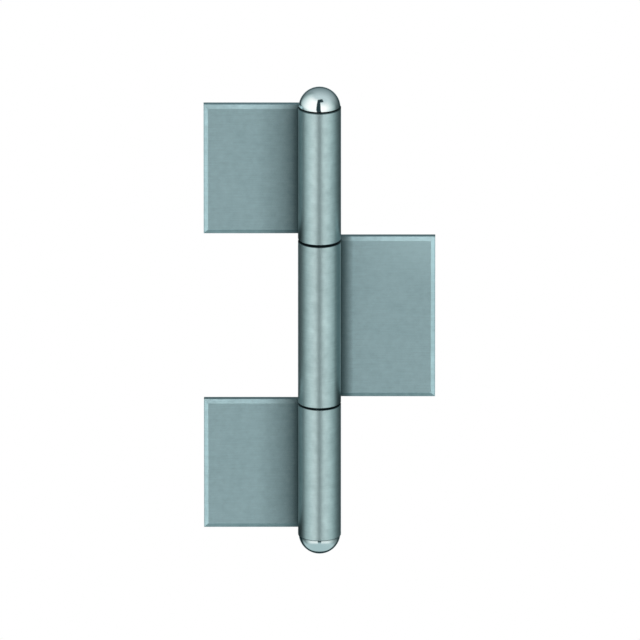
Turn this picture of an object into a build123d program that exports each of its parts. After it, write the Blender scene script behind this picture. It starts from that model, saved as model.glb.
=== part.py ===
from build123d import *
from math import asin, cos, degrees, sin
import os

os.makedirs("parts", exist_ok=True)

# A weld-on door hinge with three knuckles, lying open. The pin axis is Z, pointing up. All three leaves
# lie flat at the back of the barrel (+Y): the two frame leaves point to -X, the door leaf to +X. The
# origin is on the pin axis at half the height of the barrel. Sizes are in millimetres.

# Sheet and pin: together they set the diameter of the barrel
sheet_thickness = 4.0
pin_diameter = 11.9
pin_clearance = 0.05

# Knuckles along the barrel, and the seam that is left where each one is rolled shut
frame_knuckle_length = 64.5
door_knuckle_length = 79.0
roll_seam = 0.25
knuckle_chamfer = 0.2
bore_chamfer = 0.4

# Leaves, with a milled bevel round the three free sides of the front face
leaf_reach = 53.7
leaf_setback_at_joint = 0.25
leaf_setback_at_cap = 1.2
bevel_width = 1.95
bevel_depth = 0.7
back_edge_break = 0.3

# Flanged slide bushes, one in each end of the door knuckle. The door leaf rests on the lower flange.
bush_wall = 1.0
bush_sleeve_length = 14.0
bush_end_gap = 0.3
bush_press = 0.01
flange_thickness = 0.9
flange_inset = 0.1
flange_edge_break = 0.12
door_end_play = 0.2

# Caps, each turned as a ball and cut off a little above its middle. The upper one stands on a collar,
# which leaves a shadow line, and the lower one sits flat on the end of the barrel.
cap_inset = 0.25
top_ball_cut = 1.0
bottom_ball_cut = 0.7
collar_land = 1.5
collar_height = 0.6

# The upper cap is pressed on the pin's spigot, the lower one into the lower knuckle
spigot_diameter = 8.0
spigot_length = 6.5
spigot_end_gap = 0.3
spigot_press = 0.01
plug_length = 8.0
plug_chamfer = 0.6
plug_press = 0.01
pin_end_gap = 0.5
pin_lead = 1.5
spigot_chamfer = 0.4

# Sizes that follow from the ones above
pin_radius = pin_diameter / 2
bore_radius = pin_radius + pin_clearance
barrel_radius = bore_radius + sheet_thickness
joint_height = flange_thickness + door_end_play / 2
joint_z = (door_knuckle_length + joint_height) / 2
frame_knuckle_low = joint_z + joint_height / 2
frame_knuckle_high = frame_knuckle_low + frame_knuckle_length
door_knuckle_low = -door_knuckle_length / 2 - door_end_play / 2
door_knuckle_high = door_knuckle_low + door_knuckle_length
ball_radius = barrel_radius - cap_inset
collar_radius = bore_radius + collar_land
spigot_radius = spigot_diameter / 2


def rod(radius, low, high):
    """A round bar on the pin axis between two heights."""
    return Pos(0, 0, low) * Cylinder(radius, high - low, align=(Align.CENTER, Align.CENTER, Align.MIN))


def countersink(radius, depth, mouth, inward):
    """The cone that takes the sharp edge off a bore at its mouth; inward is +1 or -1 along Z."""
    cone = Cone(radius + depth, radius, depth, align=(Align.CENTER, Align.CENTER, Align.MIN))
    return Pos(0, 0, mouth) * (cone if inward > 0 else Rot(180, 0, 0) * cone)


def rolled_section():
    """The section of a knuckle whose leaf points to +X: the sheet leaves the leaf at the back, goes round
    the bore and stops with a square end, its outer corner just short of the leaf's front face."""
    ring = Circle(barrel_radius) - Circle(bore_radius)
    end_angle = asin((bore_radius - roll_seam) / barrel_radius)
    far = 2 * barrel_radius
    mouth = Polygon((0, 0), (far * cos(end_angle), far * sin(end_angle)), (far, far), (0, far), align=None)
    root = Pos(0, bore_radius) * Rectangle(barrel_radius, sheet_thickness, align=(Align.MIN, Align.MIN))
    return (ring - mouth) + (root & Circle(barrel_radius))


def knuckle(low, high):
    """A rolled knuckle, with its two ends turned round and chamfered."""
    rolled = Pos(0, 0, low) * extrude(rolled_section(), high - low)
    turned = rod(barrel_radius, low, high)
    turned = chamfer(turned.edges().filter_by(GeomType.CIRCLE), knuckle_chamfer)
    return rolled & turned


def leaf_plate(low, high):
    """The flat of a leaf that points to +X, from above the pin axis out to its free edge."""
    corner = (Align.MIN, Align.MIN, Align.MIN)
    plate = Pos(0, bore_radius, low) * Box(leaf_reach, sheet_thickness, high - low, align=corner)
    front = plate.faces().sort_by(Axis.Y)[0]
    free_front_edges = front.edges().sort_by(Axis.X)[1:]
    plate = chamfer(free_front_edges, bevel_width, bevel_depth, reference=front)
    back = plate.faces().sort_by(Axis.Y)[-1]
    return chamfer(back.edges().sort_by(Axis.X)[1:], back_edge_break)


def frame_leaf_above():
    """The upper frame leaf, made pointing to +X and turned over to -X."""
    low = frame_knuckle_low
    high = frame_knuckle_high
    body = knuckle(low, high) + leaf_plate(low + leaf_setback_at_joint, high - leaf_setback_at_cap)
    body -= countersink(bore_radius, bore_chamfer, low, 1)
    body -= countersink(bore_radius, bore_chamfer, high, -1)
    return mirror(body, about=Plane.YZ)


def upper_frame_leaf():
    """Sheet rolled to the knuckle above the door leaf. The pin is a sliding fit in it."""
    return frame_leaf_above()


def lower_frame_leaf():
    """The same leaf turned upside down, below the door leaf. It carries the door's weight."""
    return mirror(frame_leaf_above(), about=Plane.XY)


def door_leaf():
    """The leaf that swings, with both ends of its bore widened as seats for the bushes."""
    low = door_knuckle_low
    high = door_knuckle_high
    body = knuckle(low, high) + leaf_plate(low + leaf_setback_at_joint, high - leaf_setback_at_joint)
    seat_radius = bore_radius + bush_wall
    seat_depth = bush_sleeve_length + bush_end_gap
    body -= rod(seat_radius, low, low + seat_depth)
    body -= rod(seat_radius, high - seat_depth, high)
    return body


def flanged_bush():
    """A slide bush standing on its flange: the flange is below z = 0 and the sleeve above it."""
    sleeve = rod(bore_radius + bush_wall + bush_press, -flange_thickness / 2, bush_sleeve_length)
    sleeve = chamfer(sleeve.edges().group_by(Axis.Z)[-1], bush_wall / 3)
    flange = rod(barrel_radius - knuckle_chamfer - flange_inset, -flange_thickness, 0)
    flange = chamfer(flange.edges().filter_by(GeomType.CIRCLE), flange_edge_break)
    return sleeve + flange - rod(bore_radius, -flange_thickness, bush_sleeve_length)


def lower_bush():
    """Its flange lies between the door knuckle and the lower frame knuckle and carries the door."""
    return Pos(0, 0, door_knuckle_low) * flanged_bush()


def upper_bush():
    """The same bush turned over in the top of the door knuckle, clear of the knuckle above."""
    return Pos(0, 0, door_knuckle_high) * Rot(180, 0, 0) * flanged_bush()


def hinge_pin():
    """The turned pin: a lead at its lower end, and a spigot on top that takes the upper cap."""
    low = -frame_knuckle_high + plug_length + pin_end_gap
    shank = rod(pin_radius, low, frame_knuckle_high)
    shank = chamfer(shank.edges().group_by(Axis.Z)[0], pin_lead)
    spigot = rod(spigot_radius, frame_knuckle_high, frame_knuckle_high + spigot_length)
    spigot = chamfer(spigot.edges().group_by(Axis.Z)[-1], spigot_chamfer)
    return shank + spigot


def turned_cap(ball_cut, foot):
    """A cap whose ball is cut off at z = 0. The foot's outline runs from the axis to under the ball."""
    cut_angle = degrees(asin(ball_cut / ball_radius))
    ball = CenterArc((0, -ball_cut), ball_radius, cut_angle, 90 - cut_angle)
    outline = Polyline(*foot, ball @ 0) + ball + Line(ball @ 1, foot[0])
    return revolve(Plane.XZ * make_face(outline), Axis.Z)


def top_cap():
    """The polished cap pressed on the pin's spigot. Its collar rests on the knuckle and stops the pin."""
    hole_radius = spigot_radius - spigot_press
    hole_top = spigot_length + spigot_end_gap - collar_height
    hole = [(0, hole_top), (hole_radius, hole_top), (hole_radius, -collar_height)]
    collar = [(collar_radius, -collar_height), (collar_radius, 0)]
    return Pos(0, 0, frame_knuckle_high + collar_height) * turned_cap(top_ball_cut, hole + collar)


def bottom_cap():
    """The same cap with a plug in place of the collar, pressed into the lower knuckle's bore."""
    plug_radius = bore_radius + plug_press
    plug_tip = [(0, -plug_length), (plug_radius - plug_chamfer, -plug_length)]
    plug_side = [(plug_radius, plug_chamfer - plug_length), (plug_radius, 0)]
    return Pos(0, 0, -frame_knuckle_high) * Rot(180, 0, 0) * turned_cap(bottom_ball_cut, plug_tip + plug_side)


sub_parts = [
    upper_frame_leaf,
    lower_frame_leaf,
    door_leaf,
    upper_bush,
    lower_bush,
    hinge_pin,
    top_cap,
    bottom_cap,
]
for make in sub_parts:
    export_step(make(), f"parts/{make.__name__}.step")
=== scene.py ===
from math import cos, radians, sin

import bmesh
import bpy
from mathutils import Matrix, Vector

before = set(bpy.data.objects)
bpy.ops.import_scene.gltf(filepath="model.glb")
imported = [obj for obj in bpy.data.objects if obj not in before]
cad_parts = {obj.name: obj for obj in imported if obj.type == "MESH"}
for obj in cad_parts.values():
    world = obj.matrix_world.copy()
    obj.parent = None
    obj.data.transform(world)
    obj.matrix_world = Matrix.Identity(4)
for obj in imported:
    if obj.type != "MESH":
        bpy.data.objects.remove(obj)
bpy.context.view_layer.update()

# The three leaves: 4 mm stainless sheet, each rolled at one end into its knuckle. The sheet is ground before
# it is rolled, so fine satin lines run across the flat of the leaf and on round the barrel. The bevels are
# milled afterwards and duller. The two frame leaves point one way and the door leaf the other.
frame_leaf_names = ("upper_frame_leaf", "lower_frame_leaf")
door_leaf_names = ("door_leaf",)
leaf_dark = (0.361, 0.500, 0.534, 1)
leaf_light = (0.70, 0.912, 0.956, 1)
leaf_lines_apart = 0.00025
leaf_line_run = 0.010
leaf_line_depth = 0.000004
leaf_cloud_size = 0.016
leaf_blotch_size = 0.0035
leaf_blotch_share = 0.6
leaf_uneven_share = 0.55
leaf_smooth = 0.32
leaf_rough = 0.42
leaf_edge_radius = 0.00025
edge_samples = 6

# The finish of the roll is a little warmer than that of the flat
roll_tint = (0.905, 0.84, 0.81, 1)
roll_radius = 0.01
roll_blend = 0.0004

# Painted highlight: the door leaf is a little lighter towards its outer top corner
painted_highlight_low = 0.012
painted_highlight_high = 0.038
painted_highlight_near = 0.015
painted_highlight_far = 0.050
painted_highlight_share = 0.6

# The bevels on the front, told by how far their faces lean: the milled ones are rougher, and painted shade
# darkens the lower ones, which face down
bevel_front = -0.941
bevel_front_spread = 0.02
bevel_rough = 0.62
lower_bevel_tilt = -0.337
lower_bevel_spread = 0.1
lower_bevel_shade = 0.55

# Painted shade, dark places where shade falls: the corner between roll and flat, the crease in it, and a line
# along the free edge
leaf_painted_shade = (0.03, 0.06, 0.065, 1)
leaf_shade_power = 2.6
shade_samples = 12
frame_shade_reach = 0.02
door_shade_reach = 0.0068
crease_full = 0.0117
crease_clear = 0.0122
crease_shade = 0.35
edge_start = 0.0532
edge_full = 0.0534
edge_shade = 0.75

# Painted shade on the side of the roll beside its own leaf, and beside the next leaf above each knuckle's low
# end
corner_start = 0.0063
corner_full = 0.0092
corner_front = 0.002
corner_back = 0.005
frame_corner_shade = 0.66
door_corner_shade = 0.77
frame_low_end = 0.040
door_low_end = -0.0396
next_leaf_near = 0.003
next_leaf_far = 0.011
next_leaf_shade = 0.68

# Painted shade at the seams at the ends of the knuckles: the height of each dark line, its reach and the
# light left in it
frame_seams = ((0.105, 0.00065, 0.08), (-0.0405, 0.0003, 0.1), (-0.105, 0.0004, 0.05))
door_seams = ((0.0394, 0.0003, 0.1),)


def feed(tree, node, feeds):
    """Feeds a node's inputs, from values or from other nodes' outputs."""
    for socket, value in feeds.items():
        if isinstance(value, bpy.types.NodeSocket):
            tree.links.new(value, node.inputs[socket])
        else:
            node.inputs[socket].default_value = value


def put(tree, kind, feeds, **settings):
    """Adds a node with its settings, and feeds its inputs."""
    node = tree.nodes.new(kind)
    for name, value in settings.items():
        setattr(node, name, value)
    feed(tree, node, feeds)
    return node


def maths(tree, operation, *numbers, **settings):
    """One step of arithmetic."""
    feeds = dict(enumerate(numbers))
    return put(tree, "ShaderNodeMath", feeds, operation=operation, **settings).outputs[0]


def times(tree, *numbers):
    """The product of several numbers or masks."""
    product = numbers[0]
    for number in numbers[1:]:
        product = maths(tree, "MULTIPLY", product, number)
    return product


def without(tree, mask):
    """What a mask leaves over of 1."""
    return maths(tree, "SUBTRACT", 1.0, mask)


def away_from(tree, value, mark):
    """How far a value is from a mark, on either side."""
    return maths(tree, "ABSOLUTE", maths(tree, "SUBTRACT", value, mark))


def ramp(tree, value, low, high, at_low=0.0, at_high=1.0, kind="LINEAR"):
    """An even change from one number to another as a value goes from low to high."""
    feeds = {"Value": value, "From Min": low, "From Max": high, "To Min": at_low, "To Max": at_high}
    return put(tree, "ShaderNodeMapRange", feeds, interpolation_type=kind).outputs[0]


def soft_ramp(tree, value, low, high, at_low=0.0, at_high=1.0):
    """The same change with soft ends."""
    return ramp(tree, value, low, high, at_low, at_high, "SMOOTHSTEP")


def blend(tree, share, first, second):
    """A number between two others."""
    return put(tree, "ShaderNodeMix", {0: share, 2: first, 3: second}).outputs[0]


def over(tree, mask, below, above, how="MIX"):
    """One colour over another where the mask is 1."""
    feeds = {0: mask, 6: below, 7: above}
    return put(tree, "ShaderNodeMix", feeds, data_type="RGBA", blend_type=how).outputs[2]


def effect_group(name, inputs, output):
    """An empty shader node group with named inputs and one output, and the sockets at its two ends."""
    group = bpy.data.node_groups.new(name, "ShaderNodeTree")
    for label, kind in inputs.items():
        group.interface.new_socket(name=label, in_out="INPUT", socket_type=kind)
    group.interface.new_socket(name=output, in_out="OUTPUT", socket_type="NodeSocketFloat")
    return group, group.nodes.new("NodeGroupInput").outputs, group.nodes.new("NodeGroupOutput").inputs


def new_material(name):
    """A material with only a Principled BSDF, and the coordinates of the piece that wears it."""
    material = bpy.data.materials.new(name)
    material.use_nodes = True
    tree = material.node_tree
    tree.nodes.clear()
    shader = tree.nodes.new("ShaderNodeBsdfPrincipled")
    output = tree.nodes.new("ShaderNodeOutputMaterial")
    tree.links.new(shader.outputs[0], output.inputs["Surface"])
    return material, tree, shader, tree.nodes.new("ShaderNodeTexCoord").outputs


def dress(names, material):
    """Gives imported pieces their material."""
    for name in names:
        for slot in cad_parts[name].material_slots:
            slot.material = material


# Grinding lines lie level, so they run along a flat leaf and round anything that is turned or rolled on the
# pin's axis
line_detail = 3.0
line_inputs = {"Vector": "NodeSocketVector", "Lines Apart": "NodeSocketFloat", "Line Run": "NodeSocketFloat"}

grinding, start, end = effect_group("grinding_lines", line_inputs, "Lines")
per_run = maths(grinding, "DIVIDE", 1.0, start["Line Run"])
per_line = maths(grinding, "DIVIDE", 1.0, start["Lines Apart"])
stretch = put(grinding, "ShaderNodeCombineXYZ", {"X": per_run, "Y": per_run, "Z": per_line}).outputs[0]
stretch_feeds = {0: start["Vector"], 1: stretch}
stretched = put(grinding, "ShaderNodeVectorMath", stretch_feeds, operation="MULTIPLY").outputs[0]
noise_feeds = {"Vector": stretched, "Scale": 1.0, "Detail": line_detail}
lines = put(grinding, "ShaderNodeTexNoise", noise_feeds).outputs[0]
grinding.links.new(lines, end["Lines"])

# Clouding is the broad soft unevenness that a belt, a mop or a mould leaves in a finish
cloud_detail = 5.0
cloud_roughness = 0.6
cloud_low = 0.3
cloud_high = 0.7
cloud_inputs = {"Vector": "NodeSocketVector", "Cloud Size": "NodeSocketFloat"}

clouding, start, end = effect_group("clouding", cloud_inputs, "Cloud")
per_cloud = maths(clouding, "DIVIDE", 1.0, start["Cloud Size"])
noise_feeds = {"Vector": start["Vector"], "Scale": per_cloud}
noise_feeds |= {"Detail": cloud_detail, "Roughness": cloud_roughness}
cloud = put(clouding, "ShaderNodeTexNoise", noise_feeds).outputs[0]
clouding.links.new(ramp(clouding, cloud, cloud_low, cloud_high), end["Cloud"])


def ground_lines(tree, at, lines_apart, line_run):
    """The lines that grinding or mopping leaves on a piece."""
    feeds = {"Vector": at, "Lines Apart": lines_apart, "Line Run": line_run}
    return put(tree, "ShaderNodeGroup", feeds, node_tree=grinding).outputs["Lines"]


def clouds(tree, at, cloud_size):
    """The clouding of a piece's finish."""
    feeds = {"Vector": at, "Cloud Size": cloud_size}
    return put(tree, "ShaderNodeGroup", feeds, node_tree=clouding).outputs["Cloud"]


def shaded_corners(tree, reach, power):
    """A painted-shade mask: 1 in the open and less towards a corner or a gap."""
    node = put(tree, "ShaderNodeAmbientOcclusion", {"Distance": reach}, samples=shade_samples)
    return maths(tree, "POWER", node.outputs["AO"], power)


def leaf_shades(tree, place, outward, off_axis, on_roll, corner_shade, low_end, seams):
    """The shares of light left at the places on a leaf that get painted shade, one for each kind of place."""
    # Painted shade in the crease beside the roll and along the free edge
    crease = ramp(tree, off_axis, crease_full, crease_clear, crease_shade, 1.0)
    shades = [maths(tree, "MAXIMUM", crease, on_roll)]
    shades.append(ramp(tree, outward, edge_start, edge_full, 1.0, edge_shade))
    # Painted shade on the roll's side beside its own leaf and beside the next leaf
    leaf_side = soft_ramp(tree, outward, corner_start, corner_full, 0.0, corner_shade)
    to_front = ramp(tree, place["Y"], corner_front, corner_back, 1.0, 0.0)
    shades.append(without(tree, times(tree, leaf_side, to_front)))
    free_side = soft_ramp(tree, outward, -corner_full, -corner_start, 1.0, 0.0)
    from_end = away_from(tree, place["Z"], low_end)
    beside = ramp(tree, from_end, next_leaf_near, next_leaf_far, next_leaf_shade, 0.0)
    shades.append(without(tree, times(tree, free_side, beside)))
    # Painted shade as dark lines at the seams
    for seam_height, seam_reach, seam_shade in seams:
        away = away_from(tree, place["Z"], seam_height)
        shades.append(ramp(tree, away, seam_reach / 2, seam_reach, seam_shade, 1.0))
    return shades


def satin_steel(name, leaf_side, shade_reach, corner_shade, low_end, seams, painted_highlight=False):
    """The leaves' steel. The leaf_side is -1 where the leaf points to -X and +1 where it points to +X."""
    material, tree, shader, piece = new_material(name)
    at = piece["Object"]
    place = put(tree, "ShaderNodeSeparateXYZ", {0: at}).outputs
    facing = put(tree, "ShaderNodeSeparateXYZ", {0: piece["Normal"]}).outputs
    outward = times(tree, place["X"], leaf_side)
    level = put(tree, "ShaderNodeVectorMath", {0: at, 1: (1, 1, 0)}, operation="MULTIPLY").outputs[0]
    off_axis = put(tree, "ShaderNodeVectorMath", {0: level}, operation="LENGTH").outputs["Value"]
    on_roll = ramp(tree, off_axis, roll_radius, roll_radius + roll_blend, 1.0, 0.0)

    lines = ground_lines(tree, at, leaf_lines_apart, leaf_line_run)
    cloud = clouds(tree, at, leaf_cloud_size)
    blotches = clouds(tree, at, leaf_blotch_size)
    uneven = blend(tree, leaf_blotch_share, cloud, blotches)
    finish = blend(tree, leaf_uneven_share, lines, uneven)
    colour = over(tree, finish, leaf_dark, leaf_light)
    colour = over(tree, on_roll, colour, roll_tint, "MULTIPLY")
    # Painted highlight towards the door leaf's outer top corner
    if painted_highlight:
        upward = soft_ramp(tree, place["Z"], painted_highlight_low, painted_highlight_high, 0.0, painted_highlight_share)
        out = ramp(tree, outward, painted_highlight_near, painted_highlight_far)
        colour = over(tree, times(tree, upward, out), colour, leaf_light)

    # Painted shade on the lower bevels, which face down
    lower_bevel = maths(tree, "COMPARE", facing["Z"], lower_bevel_tilt, lower_bevel_spread)
    # Painted shade: the share of light left at corners, creases, seams, the free edge and the lower bevels
    # darkens the colour towards a dark shade colour
    lit = times(
        tree,
        shaded_corners(tree, shade_reach, leaf_shade_power),
        *leaf_shades(tree, place, outward, off_axis, on_roll, corner_shade, low_end, seams),
        ramp(tree, lower_bevel, 0.0, 1.0, 1.0, lower_bevel_shade),
    )
    colour = over(tree, lit, leaf_painted_shade, colour)

    satin = ramp(tree, finish, 0.0, 1.0, leaf_rough, leaf_smooth)
    milled = maths(tree, "COMPARE", facing["Y"], bevel_front, bevel_front_spread)
    milled = maths(tree, "SUBTRACT", milled, on_roll, use_clamp=True)
    satin = blend(tree, milled, satin, bevel_rough)
    rounded = put(tree, "ShaderNodeBevel", {"Radius": leaf_edge_radius}, samples=edge_samples).outputs[0]
    relief_feeds = {"Height": lines, "Distance": leaf_line_depth, "Normal": rounded}
    relief = put(tree, "ShaderNodeBump", relief_feeds).outputs[0]
    feed(tree, shader, {"Base Color": colour, "Metallic": 1.0, "Roughness": satin, "Normal": relief})
    return material


frame_steel = satin_steel(
    "satin_steel_frame",
    leaf_side=-1.0,
    shade_reach=frame_shade_reach,
    corner_shade=frame_corner_shade,
    low_end=frame_low_end,
    seams=frame_seams,
)
door_steel = satin_steel(
    "satin_steel_door",
    leaf_side=1.0,
    shade_reach=door_shade_reach,
    corner_shade=door_corner_shade,
    low_end=door_low_end,
    seams=door_seams,
    painted_highlight=True,
)
dress(frame_leaf_names, frame_steel)
dress(door_leaf_names, door_steel)


# The two caps: turned from bar as a ball and mopped to a mirror. The upper one is pressed on the pin's
# spigot, the lower one into the lower knuckle. Only a breath of haze and a few hairlines break the shine.
cap_names = ("top_cap", "bottom_cap")
cap_dark = (0.69, 0.76, 0.77, 1)
cap_light = (0.79, 0.85, 0.855, 1)
cap_lines_apart = 0.0003
cap_line_run = 0.006
cap_haze_size = 0.006
cap_haze_share = 0.7
cap_smooth = 0.04
cap_rough = 0.09
# Painted shade beside the caps' seams: the dark colour, its reach and how fast it deepens
cap_painted_shade = (0.01, 0.02, 0.02, 1)
cap_shade_reach = 0.0012
cap_shade_power = 3.0

mirror_steel, tree, shader, piece = new_material("mirror_steel")
lines = ground_lines(tree, piece["Object"], cap_lines_apart, cap_line_run)
haze = clouds(tree, piece["Object"], cap_haze_size)
finish = blend(tree, cap_haze_share, lines, haze)
colour = over(tree, finish, cap_dark, cap_light)
# Painted shade: the cap's colour darkens next to its seams
colour = over(tree, shaded_corners(tree, cap_shade_reach, cap_shade_power), cap_painted_shade, colour)
shine = ramp(tree, finish, 0.0, 1.0, cap_smooth, cap_rough)
feed(tree, shader, {"Base Color": colour, "Metallic": 1.0, "Roughness": shine})
dress(cap_names, mirror_steel)


# The hinge pin: bright bar ground round to size, so its fine lines run round it. It is a sliding fit in the
# knuckles and the bushes, and shows only once it is lifted.
pin_dark = (0.50, 0.57, 0.58, 1)
pin_light = (0.60, 0.67, 0.68, 1)
pin_lines_apart = 0.00018
pin_line_run = 0.02
pin_line_depth = 0.000002
pin_cloud_size = 0.009
pin_cloud_share = 0.5
pin_smooth = 0.18
pin_rough = 0.27

ground_steel, tree, shader, piece = new_material("ground_steel")
lines = ground_lines(tree, piece["Object"], pin_lines_apart, pin_line_run)
cloud = clouds(tree, piece["Object"], pin_cloud_size)
finish = blend(tree, pin_cloud_share, lines, cloud)
colour = over(tree, finish, pin_dark, pin_light)
satin = ramp(tree, finish, 0.0, 1.0, pin_rough, pin_smooth)
relief = put(tree, "ShaderNodeBump", {"Height": lines, "Distance": pin_line_depth}).outputs[0]
feed(tree, shader, {"Base Color": colour, "Metallic": 1.0, "Roughness": satin, "Normal": relief})
dress(["hinge_pin"], ground_steel)


# The two flanged slide bushes: moulded from black polymer with a fine dull grain, and pressed into the two
# ends of the door knuckle. Only their flanges show, as the black rings at the joints.
bush_names = ("upper_bush", "lower_bush")
bush_dark = (0.0008, 0.003, 0.004, 1)
bush_light = (0.002, 0.006, 0.008, 1)
bush_gloss = 0.06
bush_grain_size = 0.0003
bush_grain_depth = 0.00001
bush_cloud_size = 0.003
bush_smooth = 0.5
bush_rough = 0.7

black_polymer, tree, shader, piece = new_material("black_polymer")
cloud = clouds(tree, piece["Object"], bush_cloud_size)
grain = clouds(tree, piece["Object"], bush_grain_size)
colour = over(tree, cloud, bush_dark, bush_light)
dull = ramp(tree, grain, 0.0, 1.0, bush_smooth, bush_rough)
relief = put(tree, "ShaderNodeBump", {"Height": grain, "Distance": bush_grain_depth}).outputs[0]
feed(tree, shader, {"Base Color": colour, "Roughness": dull, "Normal": relief})
feed(tree, shader, {"Specular IOR Level": bush_gloss})
dress(bush_names, black_polymer)


# The floor: one plain sheet, lit to an even white, so far below the hinge that no shadow of it shows.
floor_drop = 60.0
floor_half = 2000.0
floor_black = (0.0, 0.0, 0.0, 1)
floor_white = (1.0, 1.0, 1.0, 1)

floor_mesh = bpy.data.meshes.new("floor")
floor_place = Matrix.Translation((0, 0, -floor_drop))
bm = bmesh.new()
bmesh.ops.create_grid(bm, x_segments=1, y_segments=1, size=floor_half, matrix=floor_place)
bm.to_mesh(floor_mesh)
bm.free()
floor = bpy.data.objects.new("floor", floor_mesh)
bpy.context.scene.collection.objects.link(floor)
white_paper, tree, shader, piece = new_material("white_paper")
feed(tree, shader, {"Base Color": floor_black, "Specular IOR Level": 0.0})
feed(tree, shader, {"Emission Color": floor_white, "Emission Strength": 1.0})
floor_mesh.materials.append(white_paper)
floor.visible_diffuse = False
floor.visible_glossy = False
floor.visible_shadow = False


# The studio: tall light tents stand left and right of the camera and wrap round towards the back, with a dark
# slot between them where the camera looks through. Above is a pale ceiling, below a grey ground, and behind
# the hinge a dark room. All angles are in degrees: bearings from the front, heights above the horizon.
world = bpy.data.worlds.new("studio")
bpy.context.scene.world = world
world.use_nodes = True
tree = world.node_tree
tree.nodes.clear()
direction = tree.nodes.new("ShaderNodeTexCoord").outputs["Generated"]
toward = put(tree, "ShaderNodeSeparateXYZ", {0: direction}).outputs
to_front = maths(tree, "MULTIPLY", toward["Y"], -1.0)
to_right = maths(tree, "DEGREES", maths(tree, "ARCTAN2", toward["X"], to_front))
to_left = maths(tree, "MULTIPLY", to_right, -1.0)
aside = maths(tree, "ABSOLUTE", to_right)
height = maths(tree, "DEGREES", maths(tree, "ARCSINE", toward["Z"]))

# The slot leans to the left as it rises, and near its top a dark boom reaches from it to the right
slot_left = 10.2
slot_left_high = 17.5
slot_right = 10.2
slot_right_high = 6.3
slot_lean_low = -12.0
slot_lean_high = 6.0
slot_soft = 2.5
slot_low = -41.0
slot_low_full = -29.0
slot_top = 62.0
slot_top_soft = 3.0
slot_colour = (0.03, 0.055, 0.062, 1)
boom_start_soft = 2.0
boom_end = 32.0
boom_end_soft = 5.0
boom_low = 46.0
boom_high = 64.0
boom_soft = 3.0

left_edge = soft_ramp(tree, height, slot_lean_low, slot_lean_high, slot_left, slot_left_high)
right_edge = soft_ramp(tree, height, slot_lean_low, slot_lean_high, slot_right, slot_right_high)
past_left = soft_ramp(tree, maths(tree, "SUBTRACT", to_left, left_edge), -slot_soft, slot_soft)
past_right = soft_ramp(tree, maths(tree, "SUBTRACT", to_right, right_edge), -slot_soft, slot_soft)
past_top = soft_ramp(tree, height, slot_top - slot_top_soft, slot_top + slot_top_soft)
off_slot = maths(tree, "MAXIMUM", maths(tree, "MAXIMUM", past_left, past_right), past_top)
on_boom = times(
    tree,
    soft_ramp(tree, to_right, -boom_start_soft, boom_start_soft),
    soft_ramp(tree, to_right, boom_end - boom_end_soft, boom_end + boom_end_soft, 1.0, 0.0),
    soft_ramp(tree, height, boom_low - boom_soft, boom_low + boom_soft),
    soft_ramp(tree, height, boom_high - boom_soft, boom_high + boom_soft, 1.0, 0.0),
)
clear = times(tree, off_slot, without(tree, on_boom))
dark_slot = times(tree, without(tree, clear), soft_ramp(tree, height, slot_low, slot_low_full))

# Below the horizon and on the right the tents fade early, while the upper half of the left one stays bright
# far round to the back. Both are a little stronger beside the hinge near the ground.
side_split = 20.0
fade_start = 16.0
fade_end = 114.0
left_faded = 0.05
right_faded = 0.15
all_faded = 175.0
upper_low = -12.0
upper_high = 4.0
right_peak_low = 0.87
right_peak_high = 1.10
upper_left_start = 50.0
upper_left_end = 175.0
low_boost = 0.4
low_boost_start = 25.0
low_boost_full = 65.0
low_boost_bottom = -37.0
low_boost_top = -27.0

upper = soft_ramp(tree, height, upper_low, upper_high)
faded = soft_ramp(tree, to_right, -side_split, side_split, left_faded, right_faded)
right_peak = soft_ramp(tree, height, upper_low, upper_high, right_peak_low, right_peak_high)
peak = soft_ramp(tree, to_right, -side_split, side_split, 1.0, right_peak)
early = soft_ramp(tree, aside, fade_start, fade_end, peak, faded)
late = soft_ramp(tree, to_left, upper_left_start, upper_left_end, 1.0, 0.0)
on_upper_left = times(tree, upper, soft_ramp(tree, to_left, 0.0, side_split))
not_behind = soft_ramp(tree, aside, fade_end, all_faded, 1.0, 0.0)
low_side = times(
    tree,
    soft_ramp(tree, aside, low_boost_start, low_boost_full, 0.0, low_boost),
    soft_ramp(tree, height, low_boost_bottom, low_boost_top, 1.0, 0.0),
)
light = times(tree, blend(tree, on_upper_left, early, late), not_behind, maths(tree, "ADD", 1.0, low_side))

# The tents' cloth is brighter higher up, and cooler where less light comes through
tent_low_light = 1.06
tent_high_light = 1.34
tent_bright_low = -28.0
tent_bright_high = 15.0
tent_bright = (1.0, 0.97, 0.95, 1)
tent_dim = (1.0, 1.29, 1.29, 1)
tent_bright_light = 1.3
tent_dim_light = 0.3

brighter = soft_ramp(tree, height, tent_bright_low, tent_bright_high, tent_low_light, tent_high_light)
strength = times(tree, light, brighter)
tent_tint = over(tree, ramp(tree, strength, tent_dim_light, tent_bright_light), tent_dim, tent_bright)
lit_tent = put(tree, "ShaderNodeVectorMath", {0: tent_tint, "Scale": strength}, operation="SCALE").outputs[0]

# The ceiling darkens towards the back, where the room is open and the ground falls away
ceiling_front = (0.65, 0.76, 0.78, 1)
ceiling_back = (0.235, 0.31, 0.325, 1)
ceiling_start = -0.14
ceiling_turn = 0.85
room_colour = (0.012, 0.03, 0.034, 1)
room_low = -10.0
room_high = 30.0
ground_colour = (0.50, 0.65, 0.665, 1)
ground_top = -22.0
ground_back_top = -60.0
ground_back_start = 112.0
ground_back_end = 165.0
ground_soft = 22.0

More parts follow.
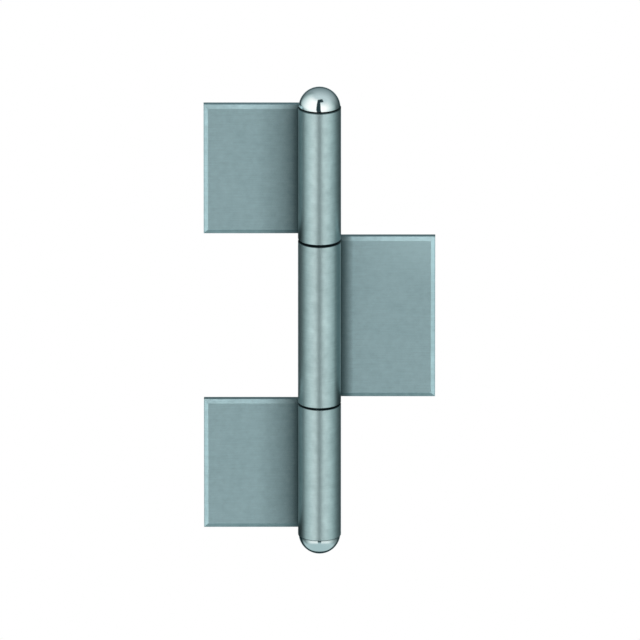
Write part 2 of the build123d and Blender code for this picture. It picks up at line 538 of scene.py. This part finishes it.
ceiling = over(tree, ramp(tree, toward["Y"], ceiling_start, ceiling_turn), ceiling_front, ceiling_back)
ceiling = over(tree, ramp(tree, toward["Y"], ceiling_turn, 1.0), ceiling, room_colour)
surroundings = over(tree, soft_ramp(tree, height, room_low, room_high), room_colour, ceiling)
ground_edge = soft_ramp(tree, aside, ground_back_start, ground_back_end, ground_top, ground_back_top)
below_edge = maths(tree, "SUBTRACT", ground_edge, height)
surroundings = over(tree, soft_ramp(tree, below_edge, 0.0, ground_soft), surroundings, ground_colour)

# The left tent reaches higher than the right one
tent_low = -50.0
tent_low_full = -36.0
left_tent_full = 42.0
left_tent_top = 72.0
right_tent_full = 10.0
right_tent_top = 54.0
tent_fade = 0.3

tent_full = soft_ramp(tree, to_right, -side_split, side_split, left_tent_full, right_tent_full)
tent_top = soft_ramp(tree, to_right, -side_split, side_split, left_tent_top, right_tent_top)
on_tents = times(
    tree,
    soft_ramp(tree, height, tent_low, tent_low_full),
    soft_ramp(tree, height, tent_full, tent_top, 1.0, 0.0),
    clear,
)
tents = over(tree, soft_ramp(tree, light, 0.0, tent_fade), surroundings, lit_tent)
studio = over(tree, on_tents, surroundings, tents)
studio = over(tree, dark_slot, studio, slot_colour)

# One grey panel stands low behind the hinge, and the leaves' backs mirror it
panel_height = radians(-17.0)
panel_size = 15.0
panel_soft = 11.0
panel_colour = (0.44, 0.53, 0.54, 1)

panel_feeds = {0: direction, 1: (0.0, cos(panel_height), sin(panel_height))}
panel_cosine = put(tree, "ShaderNodeVectorMath", panel_feeds, operation="DOT_PRODUCT").outputs["Value"]
off_panel = maths(tree, "DEGREES", maths(tree, "ARCCOSINE", panel_cosine))
on_panel = soft_ramp(tree, off_panel, panel_size, panel_size + panel_soft, 1.0, 0.0)
studio = over(tree, on_panel, studio, panel_colour)

# The camera itself sees the floor's plain white all round
camera_ray = tree.nodes.new("ShaderNodeLightPath").outputs["Is Camera Ray"]
background = put(tree, "ShaderNodeBackground", {"Color": over(tree, camera_ray, studio, floor_white)})
tree.links.new(background.outputs[0], tree.nodes.new("ShaderNodeOutputWorld").inputs["Surface"])


# The camera: a very long lens, so that the barrel's two ends show at one scale, looking down at the front.
camera_elevation = radians(19.2)
camera_lens = 1650.0
camera_sensor = 36.0
frame_width = 0.29697
aim_right = 0.00023
aim_up = 0.00044
camera_reach = 5000.0

camera_data = bpy.data.cameras.new("camera")
camera_data.lens = camera_lens
camera_data.sensor_width = camera_sensor
camera_data.clip_end = camera_reach
camera = bpy.data.objects.new("camera", camera_data)
bpy.context.scene.collection.objects.link(camera)
back = Vector((0, -cos(camera_elevation), sin(camera_elevation)))
up = Vector((0, sin(camera_elevation), cos(camera_elevation)))
distance = frame_width * camera_lens / camera_sensor
camera.location = Vector((aim_right, 0, 0)) + aim_up * up + distance * back
camera.rotation_euler = (-back).to_track_quat("-Z", "Y").to_euler()
bpy.context.scene.camera = camera
bpy.context.scene.view_settings.view_transform = "Standard"
